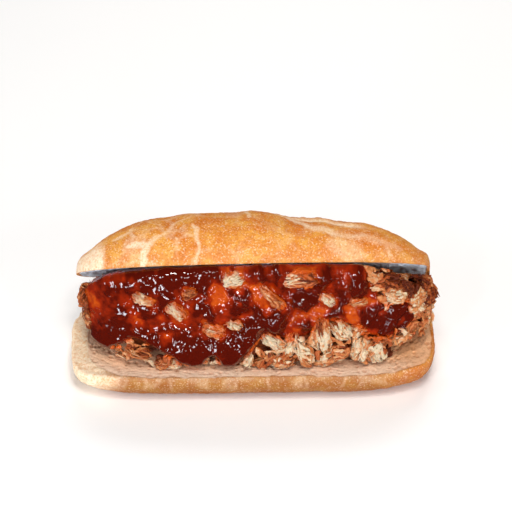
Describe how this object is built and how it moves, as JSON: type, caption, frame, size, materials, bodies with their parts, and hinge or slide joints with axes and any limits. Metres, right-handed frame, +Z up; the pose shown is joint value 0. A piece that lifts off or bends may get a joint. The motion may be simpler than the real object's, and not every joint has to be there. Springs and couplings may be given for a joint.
{
  "type": "pulled pork sandwich",
  "caption": "Crusty roll cut in two halves, open along one side, round a heap of pulled pork under a thick, glossy sauce.",
  "frame": {"origin": "middle of the flat spot under the roll's lower half, which the sandwich rests on", "axes": "+X along the roll; -Y towards the open side, where the filling shows; +Z up"},
  "size_m": [0.2031, 0.0877, 0.0907],
  "materials": {
    "baked_crust": "dry baked bread crust",
    "baked_crust_lid": "dry baked bread crust",
    "pulled_pork_meat": "moist cooked meat",
    "glossy_sauce": "wet, thick sauce"
  },
  "bodies": {
    "root": {"roll_base": "baked_crust", "roll_lid": "baked_crust_lid", "pulled_pork": "pulled_pork_meat", "barbecue_sauce": "glossy_sauce"}
  },
  "joints": []
}
